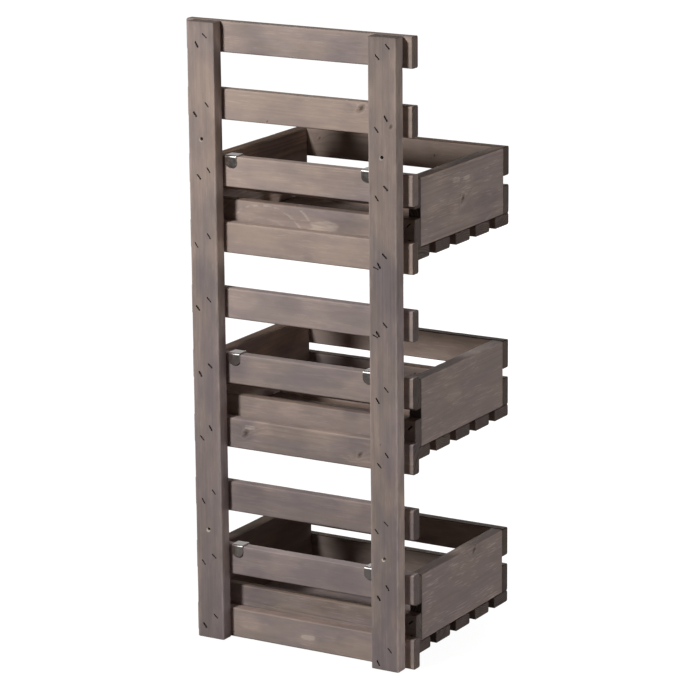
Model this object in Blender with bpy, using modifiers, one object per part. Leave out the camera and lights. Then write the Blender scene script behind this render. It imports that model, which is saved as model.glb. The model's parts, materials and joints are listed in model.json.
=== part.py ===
"""Crate shelf: a frame of two posts and ten slats, with three wooden crates hooked over its slats.

The origin is the middle of the four wall screws, on the wall. +Y points into the wall, so the
front looks along -Y, +X is on the right of someone facing the front, and +Z is up. Metres.
"""

import math

import bmesh
import bpy
from mathutils import Matrix, Vector

# Clearances
SEAT_GAP = 0.0003
CUT_OVERRUN = 0.002

# Planed boards: the long edges are rounded and the sawn ends lightly eased
ARRIS_RADIUS = 0.0025
ARRIS_SEGMENTS = 3
END_EASING = 0.0005

# Posts
POST_LENGTH = 0.900
POST_WIDTH = 0.044
POST_THICKNESS = 0.021
POST_SPACING = 0.290
WALL_HOLE_RADIUS = 0.0025
WALL_HOLE_SEGMENTS = 24

# Slats across the posts, evenly spaced, the first and last flush with the posts' ends
SLAT_COUNT = 10
SLAT_WIDTH = 0.044
SLAT_THICKNESS = 0.0165
SLAT_OVERHANG = 0.0135

# Crates, each hung on the slat of that number, counted from the top
CRATE_SLATS = {"top": 3, "middle": 6, "bottom": 9}
CRATE_LENGTH = 0.346
CRATE_DEPTH = 0.277
CRATE_DROP = 0.0095
CRATE_BOARD_WIDTH = 0.042
CRATE_BOARD_THICKNESS = 0.0165
CRATE_BOARD_SPACING = 0.014
END_PANEL_THICKNESS = 0.019
FLOOR_SLAT_COUNT = 5

# Hooks: a steel strip bent over the slat, its leg screwed to the crate's upper back board
HOOK_WIDTH = 0.018
HOOK_THICKNESS = 0.002
HOOK_BEND_RADIUS = 0.0015
HOOK_BEND_SEGMENTS = 5
HOOK_PLAY = 0.0004
HOOK_POST_CLEARANCE = 0.004
HOOK_TAB_LENGTH = 0.0155
HOOK_LEG_MARGIN = 0.004
HOOK_CORNER_RADIUS = 0.007
HOOK_CORNER_SEGMENTS = 6
HOOK_HOLE_SPACING = 0.020
HOOK_HOLE_RADIUS = 0.002
HOOK_SINK_RADIUS = 0.0035
HOOK_HOLE_SEGMENTS = 20

# Colours as linear light, and how light or dark each board took the stain
STAIN_COLOUR = (0.330, 0.278, 0.232)
STAIN_SHARES = (1.00, 0.92, 1.06, 0.96, 1.10, 0.88, 1.03)
STEEL_COLOUR = (0.62, 0.62, 0.60)

# Worked out from the sizes above
SLAT_PITCH = (POST_LENGTH - SLAT_WIDTH) / (SLAT_COUNT - 1)
SLAT_LENGTH = POST_SPACING + POST_WIDTH + 2 * SLAT_OVERHANG
SLAT_BACK_Y = -POST_THICKNESS - SEAT_GAP
SLAT_FRONT_Y = SLAT_BACK_Y - SLAT_THICKNESS
CRATE_BACK_Y = SLAT_FRONT_Y - HOOK_PLAY - HOOK_THICKNESS - SEAT_GAP
CRATE_SIDE_HEIGHT = 2 * CRATE_BOARD_WIDTH + CRATE_BOARD_SPACING
HOOK_X = (POST_SPACING - POST_WIDTH - HOOK_WIDTH) / 2 - HOOK_POST_CLEARANCE


def slat_top(number):
    """Height of a slat's upper edge, the slats being numbered from the top."""
    return POST_LENGTH / 2 - (number - 1) * SLAT_PITCH


def gap_height(number):
    """Height of the middle of the gap under a slat."""
    return slat_top(number) - (SLAT_WIDTH + SLAT_PITCH) / 2


def clear_scene():
    for item in list(bpy.data.objects):
        bpy.data.objects.remove(item, do_unlink=True)


def new_collection(name):
    collection = bpy.data.collections.new(name)
    bpy.context.scene.collection.children.link(collection)
    return collection


def new_material(name, colour, roughness, metallic):
    material = bpy.data.materials.new(name)
    material.use_nodes = True
    shader = material.node_tree.nodes["Principled BSDF"]
    shader.inputs["Base Color"].default_value = (*colour, 1.0)
    shader.inputs["Roughness"].default_value = roughness
    shader.inputs["Metallic"].default_value = metallic
    return material


def stained_wood(name, turn):
    """The stain on one board: every board took it a little differently."""
    share = STAIN_SHARES[turn % len(STAIN_SHARES)]
    colour = [channel * share for channel in STAIN_COLOUR]
    return new_material(name + "_stain", colour, roughness=0.72, metallic=0.0)


def bright_steel(name):
    return new_material(name + "_steel", STEEL_COLOUR, roughness=0.28, metallic=1.0)


def finish_mesh(mesh, bm):
    bmesh.ops.recalc_face_normals(bm, faces=bm.faces)
    bm.to_mesh(mesh)
    bm.free()
    mesh.shade_smooth()
    mesh.set_sharp_from_angle(angle=math.radians(40))
    mesh.materials.append(None)
    return mesh


def board_mesh(name, size, along):
    """A board of that size whose grain, and rounded edges, run along axis 0, 1 or 2."""
    bm = bmesh.new()
    bmesh.ops.create_cube(bm, size=1)
    bmesh.ops.scale(bm, vec=size, verts=bm.verts)
    half_length = size[along] / 2
    long_edges = [edge for edge in bm.edges if edge.verts[0].co[along] * edge.verts[1].co[along] < 0]
    bmesh.ops.bevel(
        bm, geom=long_edges, offset=ARRIS_RADIUS, segments=ARRIS_SEGMENTS,
        profile=0.5, affect="EDGES", clamp_overlap=True,
    )
    end_edges = [
        edge for edge in bm.edges
        if all(math.isclose(abs(vert.co[along]), half_length, rel_tol=1e-5) for vert in edge.verts)
        and edge.verts[0].co[along] * edge.verts[1].co[along] > 0
    ]
    bmesh.ops.bevel(
        bm, geom=end_edges, offset=END_EASING, segments=1, affect="EDGES", clamp_overlap=True,
    )
    return finish_mesh(bpy.data.meshes.new(name), bm)


def quarter_turn(steps):
    return [math.radians(90) * step / steps for step in range(steps + 1)]


def strip_rows():
    """(y, z, half width) down the inner face of a hook, in its crate's frame, from the tab's
    rounded tip over the slat to the leg's rounded tip."""
    leg_y = SEAT_GAP + HOOK_THICKNESS
    tab_y = leg_y + SLAT_THICKNESS + 2 * HOOK_PLAY
    plate_z = CRATE_DROP + SEAT_GAP
    tab_tip = CRATE_DROP - HOOK_TAB_LENGTH
    leg_tip = HOOK_LEG_MARGIN - CRATE_BOARD_WIDTH
    corner = min(HOOK_CORNER_RADIUS, HOOK_WIDTH / 2)
    turns = quarter_turn(HOOK_CORNER_SEGMENTS)
    tip = [(corner * (1 - math.cos(turn)), HOOK_WIDTH / 2 - corner * (1 - math.sin(turn))) for turn in turns]
    bends = quarter_turn(HOOK_BEND_SEGMENTS)
    arc = [(HOOK_BEND_RADIUS * math.cos(turn), HOOK_BEND_RADIUS * math.sin(turn)) for turn in bends]
    bend_z = plate_z - HOOK_BEND_RADIUS
    rows = [(tab_y, tab_tip + rise, half) for rise, half in tip]
    rows += [(tab_y - HOOK_BEND_RADIUS + out, bend_z + up, HOOK_WIDTH / 2) for out, up in arc]
    rows += [(leg_y + HOOK_BEND_RADIUS - out, bend_z + up, HOOK_WIDTH / 2) for out, up in reversed(arc)]
    rows += [(leg_y, leg_tip + rise, half) for rise, half in reversed(tip)]
    return rows


def hook_mesh():
    """The inner face of the bent strip, which Solidify thickens away from the slat."""
    bm = bmesh.new()
    pairs = []
    for y, z, half in strip_rows():
        pairs.append([bm.verts.new((side * half, y, z)) for side in (-1, 1)])
    for (left, right), (next_left, next_right) in zip(pairs, pairs[1:]):
        bm.faces.new((left, right, next_right, next_left))
    middle = Vector((0, SEAT_GAP + HOOK_THICKNESS + HOOK_PLAY + SLAT_THICKNESS / 2, 0))
    first = bm.faces[:][0]
    first.normal_update()
    if first.normal.dot(first.calc_center_median() - middle) < 0:
        bmesh.ops.reverse_faces(bm, faces=bm.faces)
    mesh = bpy.data.meshes.new("hook")
    bm.to_mesh(mesh)
    bm.free()
    mesh.shade_smooth()
    mesh.set_sharp_from_angle(angle=math.radians(40))
    mesh.materials.append(None)
    return mesh


def hide_cutter(cutter):
    cutter.hide_render = True
    cutter.display_type = "WIRE"


def place(name, mesh, location, parent, material, collection):
    piece = bpy.data.objects.new(name, mesh)
    piece.location = location
    piece.parent = parent
    collection.objects.link(piece)
    piece.material_slots[0].link = "OBJECT"
    piece.material_slots[0].material = material
    return piece


def cut(piece, cutter):
    modifier = piece.modifiers.new("cut_" + cutter.name, "BOOLEAN")
    modifier.operation = "DIFFERENCE"
    modifier.solver = "EXACT"
    modifier.object = cutter


def drill(name, radius, depth, location, parent, collection):
    """A cutter for a plain hole along Y, centred on its location."""
    bm = bmesh.new()
    bmesh.ops.create_cone(
        bm, cap_ends=True, segments=WALL_HOLE_SEGMENTS, radius1=radius, radius2=radius,
        depth=depth + 2 * CUT_OVERRUN, matrix=Matrix.Rotation(math.radians(90), 4, "X"),
    )
    mesh = bpy.data.meshes.new(name)
    bm.to_mesh(mesh)
    bm.free()
    cutter = bpy.data.objects.new(name, mesh)
    cutter.location = location
    cutter.parent = parent
    collection.objects.link(cutter)
    hide_cutter(cutter)
    return cutter


def countersink(name, location, parent, collection):
    """A turned cutter for a countersunk hole, its mouth facing +Y in the hook's leg."""
    sink_depth = HOOK_SINK_RADIUS - HOOK_HOLE_RADIUS
    far_end = HOOK_THICKNESS + CUT_OVERRUN
    profile = [
        (0, CUT_OVERRUN),
        (HOOK_SINK_RADIUS + CUT_OVERRUN, CUT_OVERRUN),
        (HOOK_HOLE_RADIUS, -sink_depth),
        (HOOK_HOLE_RADIUS, -far_end),
        (0, -far_end),
    ]
    mesh = bpy.data.meshes.new(name)
    edges = [(index, index + 1) for index in range(len(profile) - 1)]
    mesh.from_pydata([(radius, 0, height) for radius, height in profile], edges, [])
    cutter = bpy.data.objects.new(name, mesh)
    turned = cutter.modifiers.new("turned", "SCREW")
    turned.axis = "Z"
    turned.steps = HOOK_HOLE_SEGMENTS
    turned.render_steps = HOOK_HOLE_SEGMENTS
    turned.use_merge_vertices = True
    turned.merge_threshold = 0.00001
    cutter.rotation_euler = (math.radians(-90), 0, 0)
    cutter.location = location
    cutter.parent = parent
    collection.objects.link(cutter)
    hide_cutter(cutter)
    return cutter


def new_empty(name, location, parent, collection):
    empty = bpy.data.objects.new(name, None)
    empty.empty_display_size = POST_WIDTH
    empty.location = location
    empty.parent = parent
    collection.objects.link(empty)
    return empty


def make_frame(shelf, cutters):
    """Two posts with their wall holes, and the slats across their front faces."""
    frame = new_empty("shelf_frame", (0, 0, 0), None, shelf)
    post = board_mesh("post", (POST_WIDTH, POST_THICKNESS, POST_LENGTH), 2)
    for turn, (side, sign) in enumerate((("left", -1), ("right", 1))):
        name = side + "_post"
        middle = (sign * POST_SPACING / 2, -POST_THICKNESS / 2, 0)
        piece = place(name, post, middle, frame, stained_wood(name, turn), shelf)
        for label, gap in (("upper", 2), ("lower", SLAT_COUNT - 2)):
            spot = (middle[0], middle[1], gap_height(gap))
            hole = f"{label}_{side}_wall_hole"
            cut(piece, drill(hole, WALL_HOLE_RADIUS, POST_THICKNESS, spot, frame, cutters))
    slat = board_mesh("slat", (SLAT_LENGTH, SLAT_THICKNESS, SLAT_WIDTH), 0)
    for number in range(1, SLAT_COUNT + 1):
        name = f"slat_{number:02d}"
        spot = (0, SLAT_BACK_Y - SLAT_THICKNESS / 2, slat_top(number) - SLAT_WIDTH / 2)
        place(name, slat, spot, frame, stained_wood(name, number), shelf)
    return frame


def crate_meshes():
    panel_length = CRATE_DEPTH - 2 * (CRATE_BOARD_THICKNESS + SEAT_GAP)
    return {
        "end_panel": board_mesh("end_panel", (END_PANEL_THICKNESS, panel_length, CRATE_SIDE_HEIGHT), 1),
        "board": board_mesh("crate_board", (CRATE_LENGTH, CRATE_BOARD_THICKNESS, CRATE_BOARD_WIDTH), 0),
        "floor_slat": board_mesh("floor_slat", (CRATE_LENGTH, CRATE_BOARD_WIDTH, CRATE_BOARD_THICKNESS), 0),
        "hook": hook_mesh(),
    }


def make_crate(level, number, meshes, frame, shelf, cutters):
    """One crate. Its empty sits at the middle of the top edge of its back, where it lifts off."""
    where = (0, CRATE_BACK_Y, slat_top(number) - CRATE_DROP)
    crate = new_empty(level + "_crate", where, frame, shelf)
    panel_x = (CRATE_LENGTH - END_PANEL_THICKNESS) / 2
    for turn, (side, sign) in enumerate((("left", -1), ("right", 1))):
        name = f"{level}_crate_{side}_end"
        spot = (sign * panel_x, -CRATE_DEPTH / 2, -CRATE_SIDE_HEIGHT / 2)
        place(name, meshes["end_panel"], spot, crate, stained_wood(name, number + turn), shelf)
    walls = (("back", -CRATE_BOARD_THICKNESS / 2), ("front", CRATE_BOARD_THICKNESS / 2 - CRATE_DEPTH))
    rows = (("upper", -CRATE_BOARD_WIDTH / 2), ("lower", CRATE_BOARD_WIDTH / 2 - CRATE_SIDE_HEIGHT))
    for turn, (wall, y) in enumerate(walls):
        for step, (row, z) in enumerate(rows):
            name = f"{level}_crate_{row}_{wall}_board"
            stain = stained_wood(name, number + 2 * turn + step)
            place(name, meshes["board"], (0, y, z), crate, stain, shelf)
    floor_pitch = (CRATE_DEPTH - CRATE_BOARD_WIDTH) / (FLOOR_SLAT_COUNT - 1)
    floor_z = -CRATE_SIDE_HEIGHT - SEAT_GAP - CRATE_BOARD_THICKNESS / 2
    for step in range(FLOOR_SLAT_COUNT):
        name = f"{level}_crate_floor_slat_{step + 1}"
        spot = (0, -CRATE_BOARD_WIDTH / 2 - step * floor_pitch, floor_z)
        place(name, meshes["floor_slat"], spot, crate, stained_wood(name, number + step + 3), shelf)
    for side, sign in (("left", -1), ("right", 1)):
        make_hook(f"{level}_crate_{side}_hook", sign * HOOK_X, meshes["hook"], crate, shelf, cutters)
    return crate


def make_hook(name, x, mesh, crate, shelf, cutters):
    hook = place(name, mesh, (x, 0, 0), crate, bright_steel(name), shelf)
    strip = hook.modifiers.new("strip", "SOLIDIFY")
    strip.thickness = HOOK_THICKNESS
    strip.offset = 1
    strip.use_even_offset = True
    for label, shift in (("upper", HOOK_HOLE_SPACING / 2), ("lower", -HOOK_HOLE_SPACING / 2)):
        spot = (x, SEAT_GAP + HOOK_THICKNESS, shift - CRATE_BOARD_WIDTH / 2)
        cut(hook, countersink(f"{name}_{label}_hole", spot, crate, cutters))
    return hook


def main():
    clear_scene()
    shelf = new_collection("Crate shelf")
    cutters = new_collection("Cutters")
    frame = make_frame(shelf, cutters)
    meshes = crate_meshes()
    for level, number in CRATE_SLATS.items():
        make_crate(level, number, meshes, frame, shelf, cutters)


main()
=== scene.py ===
"""The looks of the crate shelf: stained softwood boards, staples, bright steel hooks and their screws."""

import functools
import json
import math
import operator
import random

import bmesh
import bpy
from mathutils import Matrix, Vector
from mathutils.noise import noise as perlin


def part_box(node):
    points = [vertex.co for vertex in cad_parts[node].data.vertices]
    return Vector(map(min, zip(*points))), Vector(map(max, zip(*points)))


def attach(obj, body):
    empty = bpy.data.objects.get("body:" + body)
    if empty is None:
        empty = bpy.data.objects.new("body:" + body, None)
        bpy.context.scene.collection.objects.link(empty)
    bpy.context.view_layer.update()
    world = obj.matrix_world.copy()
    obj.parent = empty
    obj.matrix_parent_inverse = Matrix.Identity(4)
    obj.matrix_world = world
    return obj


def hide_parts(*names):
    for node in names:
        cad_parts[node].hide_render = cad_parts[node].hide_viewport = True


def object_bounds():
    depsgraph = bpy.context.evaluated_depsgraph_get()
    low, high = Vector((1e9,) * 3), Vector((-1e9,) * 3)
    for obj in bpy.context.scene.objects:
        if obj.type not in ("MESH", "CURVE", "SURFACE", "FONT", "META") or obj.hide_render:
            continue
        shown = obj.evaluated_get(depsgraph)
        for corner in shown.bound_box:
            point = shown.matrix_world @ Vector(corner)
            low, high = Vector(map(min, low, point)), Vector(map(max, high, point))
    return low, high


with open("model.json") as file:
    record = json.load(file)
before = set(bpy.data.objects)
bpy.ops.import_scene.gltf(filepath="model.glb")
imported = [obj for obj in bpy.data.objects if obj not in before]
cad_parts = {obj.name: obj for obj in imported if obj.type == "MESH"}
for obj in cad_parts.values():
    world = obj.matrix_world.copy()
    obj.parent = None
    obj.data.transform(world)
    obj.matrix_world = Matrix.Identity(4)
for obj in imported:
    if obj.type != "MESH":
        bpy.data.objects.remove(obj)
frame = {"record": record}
cad_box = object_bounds()

MM = 0.001

# How far a cutter overshoots, and the steps round a full circle and round the eased edge of a steel strip
OVERRUN = 1.0 * MM
ROUND_STEPS = 32
STRIP_EDGE_STEPS = 2

# Faces that meet at more than this many degrees keep a sharp edge
SHARP_ANGLE = 38

# The photograph's camera
CAMERA_TARGET = Vector((-0.0769, -0.0210, 0.0060))
CAMERA_AZIMUTH = 30.368
CAMERA_ELEVATION = 14.318
CAMERA_ROLL = -0.482
CAMERA_DISTANCE = 4.7733
CAMERA_LENS = 177.55

# Boards: the radius of the long edges, the easing of the sawn ends, and the spacing of the cross-sections
ARRIS = 2.5 * MM
ARRIS_STEPS = 4
END_EASING = 0.5 * MM
STATION = 4.0 * MM

# The slow waves in the long edges: their share of the radius, their pace, and what sets edges and boards apart
WAVE_SHARE = 0.22
WAVE_PACE = 22
WAVE_SHIFT = 7.7
WAVE_SEEDS = (0, 90)

# The nicks in a board's long edges: how many, and their length and depth in millimetres
NICK_COUNTS = (3, 7)
NICK_LENGTHS = (2, 7)
NICK_DEPTHS = (0.3, 1.1)

# A post's two wall holes: their height above and below the middle, and their radius, in millimetres
WALL_HOLE_HEIGHT = 285.33
WALL_HOLE_RADIUS = 2.5

# Staples of flat wire, driven a little below the face. Turns are in degrees
STAPLE_CROWN = 9.0 * MM
STAPLE_WIRE = 1.15 * MM
STAPLE_THICKNESS = STAPLE_WIRE * 0.5
STAPLE_LEG = 3.0 * MM
STAPLE_BEND = 0.7 * MM
STAPLE_BEND_STEPS = 4
STAPLE_EDGE = 0.18 * MM
STAPLE_DEPTH = 1.6 * MM
STAPLE_TURN = -50.0
STAPLE_SWING = 11

# A crate board's staples, in millimetres: how far from the middle line and the end, and how far they stray
CRATE_STAPLE_SPREAD = 11
CRATE_STAPLE_INSET = 9.5
CRATE_STAPLE_STRAYS = (2, 1.5)
CRATE_STAPLE_TURNS = (35, 60)

# The slot round a staple: the room at its ends and sides, its depth below the crown, and its mouth's flare
SLOT_END_ROOM = 0.2 * MM
SLOT_SIDE_ROOM = 0.3 * MM
SLOT_BELOW = 1.0 * MM
SLOT_LIP = 0.25 * MM
SLOT_FLARE = 0.3 * MM
SLOT_STEPS = 6

# The slot's torn sides, in millimetres, and how its length and width vary
SLOT_BULGE = 0.22
SLOT_TEARS = (-0.20, 0.30)
SLOT_LENGTHS = (0.92, 1.0)
SLOT_WIDTHS = (0.8, 1.5)

# Hooks
HOOK_THICKNESS = 2.0 * MM
HOOK_BEND = 1.5 * MM
HOOK_CORNER = 7.0 * MM
HOOK_STEPS = 8
HOOK_EDGE = 0.55 * MM
HOOK_TAB_DROP = 17.8 * MM

# A hook's screws, as (distance below its top, turn in degrees)
HOOK_SCREWS = ((22.8 * MM, 20), (42.8 * MM, 70))

# A screw from its shank to the middle of its head, and the hole that takes it, as (radius, height)
SCREW_HEAD = 3.3 * MM
SCREW_OUTLINE = (
    (0, -2.6 * MM), (1.7 * MM, -2.6 * MM), (1.7 * MM, -1.7 * MM), (SCREW_HEAD - 0.15 * MM, -0.25 * MM),
    (SCREW_HEAD, -0.1 * MM), (SCREW_HEAD - 0.2 * MM, 0), (0, 0.02 * MM),
)
SINK_OUTLINE = (
    (0, -HOOK_THICKNESS - OVERRUN), (1.9 * MM, -HOOK_THICKNESS - OVERRUN), (1.9 * MM, -1.5 * MM),
    (SCREW_HEAD + 1.1 * MM, OVERRUN), (0, OVERRUN),
)

# One slot of a screw's cross, from its bottom to its mouth, as (height, half length, half width)
CROSS_BLADE = ((-1.3 * MM, 0.9 * MM, 0.32 * MM), (0.4 * MM, 2.1 * MM, 0.50 * MM))

# Colours as linear light
WARM_STAIN = (0.402, 0.313, 0.266)
GREY_STAIN = (0.280, 0.232, 0.232)
UMBER_STAIN = (0.280, 0.237, 0.203)
KNOT_STAIN_AND_HOLE_SHADE = (0.110, 0.078, 0.062)
# The warm tint of the painted shade on the narrow sides
NARROW_SHADE_TINT = (1.0, 0.80, 0.62)
RUBBED_STAIN = (0.540, 0.460, 0.400)
RAW_WOOD = (0.80, 0.72, 0.60)
ZINC = (0.71, 0.675, 0.645)
STAPLE_STEEL = (0.11, 0.095, 0.09)
FILL_LIGHT = (0.036, 0.026, 0.021)
WHITE = (1.0, 1.0, 1.0)

# How much a board shines, and the roughness of each steel and the strength of its scratches
WOOD_SHINE = 0.08
ZINC_FINISH = (0.20, 0.10)
STAPLE_FINISH = (0.42, 0.10)

# How much of the white surroundings shows in bright metal, and of the white floor close by and further out
METAL_SURROUND = 0.39
METAL_FLOOR = (0.03, 0.015)
METAL_FLOOR_REACH = (500, 1500)

# The floor: half its side in metres, how far below the shelf it lies, and its look to light that scatters
FLOOR_HALF = 6
FLOOR_DROP = 0.1 * MM
FLOOR_COLOUR = (0.06, 0.05, 0.045)
FLOOR_ROUGHNESS = 0.8

# The floor's own white near the shelf, and how far away it has faded into the backdrop, in millimetres
FLOOR_WHITE = 0.965
FLOOR_FADE = (1200, 3200)

# The lamps: where each stands, where it aims, its diameter or its width and height, and its power
LAMPS = {
    "key_lamp": ((0.45, 1.50, 1.06), (0, 0, 0.05), 0.26, 28.0),
    "side_lamp": ((-4.00, -0.05, -0.36), (0, -0.05, 0), (0.9, 0.16), 56.0),
    "front_lamp": ((0.50, -3.00, 0.20), (0, -0.15, 0), 1.8, 50.0),
    "far_side_lamp": ((4.00, -0.30, 0.20), (0, -0.15, 0), (0.9, 0.4), 40.0),
    "glint_lamp": ((1.30, 1.55, 1.25), (0, 0, 0), 0.9, 7.5),
}

# The lamp that only shiny surfaces see, for the glints on the hooks' bends
GLINT_LAMP = "glint_lamp"


class Flow:
    """One output in a node tree. Sums and products of flows make the nodes that work them out."""

    def __init__(self, tree, socket):
        self.tree = tree
        self.socket = socket

    def by(self, operation, *others):
        made = self.tree.nodes.new("ShaderNodeMath")
        made.operation = operation
        for socket, value in zip(made.inputs, (self, *others)):
            feed(self.tree, socket, value)
        return Flow(self.tree, made.outputs[0])

    def __add__(self, other):
        return self.by("ADD", other)

    def __sub__(self, other):
        return self.by("SUBTRACT", other)

    def __mul__(self, other):
        return self.by("MULTIPLY", other)

    def __truediv__(self, other):
        return self.by("DIVIDE", other)

    def smooth(self, start, end, low=0.0, high=1.0):
        """Rises softly from low at start to high at end."""
        made = self.tree.nodes.new("ShaderNodeMapRange")
        made.interpolation_type = "SMOOTHSTEP"
        ranges = {"Value": self, "From Min": start, "From Max": end, "To Min": low, "To Max": high}
        for name, value in ranges.items():
            feed(self.tree, made.inputs[name], value)
        return Flow(self.tree, made.outputs["Result"])


def feed(tree, socket, value):
    if isinstance(value, Flow):
        tree.links.new(value.socket, socket)
    else:
        socket.default_value = value


def total(flows):
    return functools.reduce(operator.add, flows)


def weighed(shares, **flows):
    """The sum of the flows, each times its share."""
    return total(flow * shares[name] for name, flow in flows.items())


def strongest(flows):
    return functools.reduce(lambda first, second: first.by("MAXIMUM", second), flows)


def length_of(*parts):
    return total(part * part for part in parts).by("SQRT")


def point(tree, *parts):
    made = tree.nodes.new("ShaderNodeCombineXYZ")
    for socket, value in zip(made.inputs, parts):
        feed(tree, socket, value)
    return Flow(tree, made.outputs[0])


def noise(tree, place, detail=2.0, roughness=0.5, distortion=0.0):
    made = tree.nodes.new("ShaderNodeTexNoise")
    numbers = {"Vector": place, "Scale": 1.0, "Detail": detail, "Roughness": roughness, "Distortion": distortion}
    for name, value in numbers.items():
        feed(tree, made.inputs[name], value)
    return Flow(tree, made.outputs[0])


def mix(tree, share, first, second, blend="MIX"):
    made = tree.nodes.new("ShaderNodeMix")
    made.data_type = "RGBA"
    made.blend_type = blend
    made.clamp_factor = True
    feed(tree, made.inputs[0], share)
    for socket, value in ((made.inputs[6], first), (made.inputs[7], second)):
        feed(tree, socket, value if isinstance(value, Flow) else (*value, 1.0))
    return Flow(tree, made.outputs[2])


def scaled(tree, colour, share):
    """A colour times a number."""
    made = tree.nodes.new("ShaderNodeVectorMath")
    made.operation = "SCALE"
    feed(tree, made.inputs[0], colour)
    feed(tree, made.inputs[3], share)
    return Flow(tree, made.outputs[0])


# The numbers that the wood's node group takes. Lengths are in millimetres
WOOD_NUMBERS = (
    "Along", "Across", "Through", "Half along", "Half across", "Half through", "Seed", "Tone", "Slope", "Warmth",
    "Variety", "Umber", "Fade", "Figure", "Streaks", "Lines", "Edge", "End", "Wear", "Pith across", "Pith through",
    "Ring width",
)

# How many marks of each kind it takes: each as its place along and across the grain, and its size
MARKS = {"Knot": 2, "Rub": 2, "Bloom": 3, "Arc": 1}

# The clouds of noise that the wood is drawn from: length along the grain, width across it, a shift that sets each
# apart, and the noise's detail, roughness and distortion
CLOUDS = {
    "mottle": (52, 16, 3.1, 3.0, 0.55),
    "patch": (140, 36, 41.7, 2.0, 0.5, 0.6),
    "tint": (85, 30, 87.3, 2.0, 0.5, 0.4),
    "streak": (190, 2.8, 7.9, 3.0, 0.6),
    "blot": (13, 5.5, 15.3, 2.0, 0.6),
    "fibre": (11, 0.55, 29.3, 3.0, 0.65),
    "hair": (30, 1.2, 53.9, 3.0, 0.7),
    "dash": (24, 1.5, 66.1, 1.0),
    "sway": (420, 90, 61.1),
    "lean": (360, 90, 73.3),
}
SEED_STRIDE = 23.7

# How far the clouds push a mark's outline, along and across the grain, and a size that stands for no mark
MARK_WANDER = (3.0, 4.0)
NO_SIZE = 0.01

# A pair of numbers is where something starts to show and where it shows in full, here as shares of the mark's size.
# A swirl is the grain that bends round a knot, and RAGGED is how much the clouds fray an outline
KNOT_SLANT = 0.55
KNOT_RAGGED = (1.6, 0.5)
KNOT_LENGTH = 1.15
KNOT_CORE = (0.62, 0.25)
KNOT_BODY = (1.15, 0.70)
KNOT_RIM = (0.75, 1.05)
KNOT_RIM_END = (1.55, 1.10)
SWIRL_LENGTH = 3.2
SWIRL_HEIGHT = 1.5
SWIRL_FALL = -0.8
SWIRL_PUSH = 1.3
SWIRL_TAIL = (1.7, 0.5)
RUB_LENGTH = 3.0
RUB_RAGGED = (0.9, 0.5)
RUB_EDGE = (1.00, 0.70)
RUB_HAIR = (0.32, 0.52)
BLOOM_WANDER = 3.0
BLOOM_LENGTH = 1.5
BLOOM_EDGE = (1.30, 0.50)

# The curved scratches: how far apart in millimetres, where one starts and ends as a share of that, where the blots
# break it, and half the width of the band that holds them
ARC_SPACING = 19.0
ARC_START = (0.0, 0.05)
ARC_END = (0.30, 0.06)
ARC_BLOT = (0.40, 0.54)
ARC_BAND = (26.0, 18.0)

# The growth rings: how far they sway across and through the board and how far the hair moves them, in millimetres,
# the bands of narrow and wide rings, and the dark late wood of a ring as shares of it
RING_SWAY = (24, 20)
RING_HAIR = 0.9
BAND_WIDTH = 8.0
BAND_SHIFT = 4.4
BAND_STRENGTH = 2.2
LATE_START = (0.25, 0.85)
LATE_END = (1.0, 0.88)
LATE_PATCH = (0.30, 0.58, 0.25, 1.0)

# Where things show near a long edge, a side or an end: millimetres inside it, below 0. HAIR and MOTTLE break them
WORN_EDGE = (-2.8, -0.9)
WORN_HAIR = (0.36, 0.60)
HANDLED_EDGE = (-9.0, -1.0)
HANDLED_MOTTLE = (0.40, 0.62)
NARROW_SIDE = (-1.6, -0.5)
END_FACE = (-0.7, -0.35)
NEAR_END = (-9.0, 0.0)
# Painted shade: where the wood is drawn darker deep in staple slots and wall holes, as steps below the face, inside
# the sides and inside the ends
SUNK_FROM_FACE = (-0.2, -0.8)
SUNK_FROM_SIDE = (-2.6, -3.4)
SUNK_FROM_END = (-1.0, -2.0)

# The stain: where the umber tint and the short pale dashes show, and what each thing adds to warmth, light and tone
UMBER_TINT = (0.42, 0.60)
DASH_EDGE = (0.58, 0.65)
DASH_MOTTLE = (0.44, 0.54)
BLOOM_WARMTH = 0.20
UNEVEN = dict(patch=2.0, mottle=0.9)
LIGHT = dict(mottle=0.22, streak=0.20, blot=0.11, fibre=0.10, band=0.26, late=-0.17, tail=0.40, bloom=0.075)
TONE = dict(worn=0.34, handled=0.12, dashes=0.30)
END_TONE = -0.07
RIM_TONE = 0.10
# How much darker the painted shade deep in slots and holes makes the wood
RECESS_PAINTED_SHADE = -0.70
NARROW_SHADE_TINT_STRENGTH = 1.5

# How much of the stain each mark covers. For a knot's body that is a share of the hair, and a least amount
RUB_COVER = 0.66
ARC_COVER = 0.60
BODY_COVER = (0.5, 0.08)
CORE_COVER = 0.80
END_COVER = 0.94
END_GRAIN = dict(fibre=0.20, late=-0.20)

# How much each thing roughens the surface, and how many millimetres it raises it
ROUGHNESS = 0.72
ROUGHENED = dict(fibre=0.16, mottle=0.12, late=-0.05, end=0.12, worn=-0.05)
RAISED = dict(late=-0.05, fibre=0.07, hair=0.06, blot=0.05, core=0.05, rim=-0.04, end=0.12)
LEAST_FIGURE = 0.3


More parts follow.
